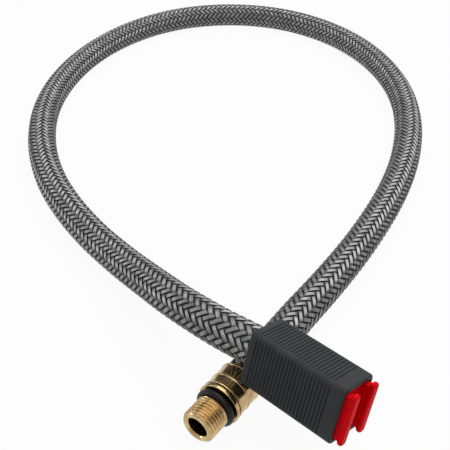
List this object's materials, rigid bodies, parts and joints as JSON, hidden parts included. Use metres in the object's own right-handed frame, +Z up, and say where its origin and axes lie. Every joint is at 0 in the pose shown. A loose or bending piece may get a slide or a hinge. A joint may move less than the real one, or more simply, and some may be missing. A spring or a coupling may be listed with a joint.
{
  "type": "connection hose",
  "caption": "Braided flexible hose in a loop, with a threaded nipple at one end and a ribbed quick coupling with a release slide at the other.",
  "frame": {"origin": "on the table under the middle of the two ends, the nipple end and the coupling, without the hose", "axes": "+Z up from the table; the nipple's free end points along -Y; the coupling points near +X"},
  "size_m": [0.2302, 0.2549, 0.0293],
  "materials": {
    "brass": "turned and polished",
    "black_rubber": "moulded, satin",
    "wire_braid": "braided stainless wire",
    "grey_plastic": "moulded, matt",
    "red_plastic": "moulded, satin",
    "spring_steel": "drawn, bright"
  },
  "bodies": {
    "hose_assembly": {"threaded_nipple": "brass", "nipple_o_ring": "black_rubber", "nipple_ferrule": "brass", "braided_hose": "wire_braid", "coupling_housing": "grey_plastic", "socket_body": "brass", "front_seal": "black_rubber", "rear_seal": "black_rubber", "retaining_clip": "spring_steel", "coupling_ferrule": "spring_steel"},
    "release_slide": {"release_slide": "red_plastic"}
  },
  "joints": [
    {"name": "release_press", "type": "slide", "parent": "hose_assembly", "child": "release_slide", "axis": [0.9922, -0.125, 0], "range_m": [-0.001, 0], "stiffness_N_per_m": 400}
  ]
}
